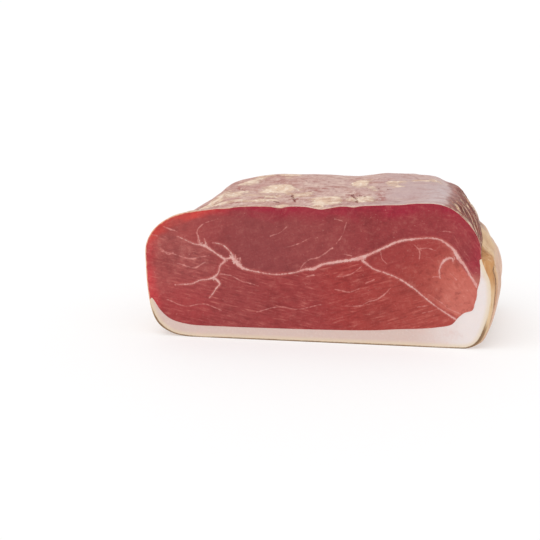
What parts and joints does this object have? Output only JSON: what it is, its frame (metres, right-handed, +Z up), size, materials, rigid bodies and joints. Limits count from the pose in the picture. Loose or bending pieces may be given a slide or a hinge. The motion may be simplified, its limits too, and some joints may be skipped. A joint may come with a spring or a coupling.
{
  "type": "westphalian ham half",
  "caption": "Half of a boneless cured ham: a pressed block of dark red lean meat with one flat cut, wrapped below and on one flank by a layer of white fat with tan rind.",
  "frame": {"origin": "under the middle of the block's bounding box, on the surface that it lies on", "axes": "+X along the width of the cut, towards the flank that the fat wraps; +Y from the cut to the rounded far end, so the cut faces -Y; +Z up"},
  "size_m": [0.2456, 0.147, 0.1039],
  "materials": {
    "lean_meat": "moist burgundy red cut with pink seams of fat; dry greyish mauve crust with cream patches outside",
    "fat_layer": "waxy white fat going ochre towards a thin tan rind"
  },
  "bodies": {
    "root": {"lean_meat": "lean_meat", "fat_layer": "fat_layer"}
  },
  "joints": []
}
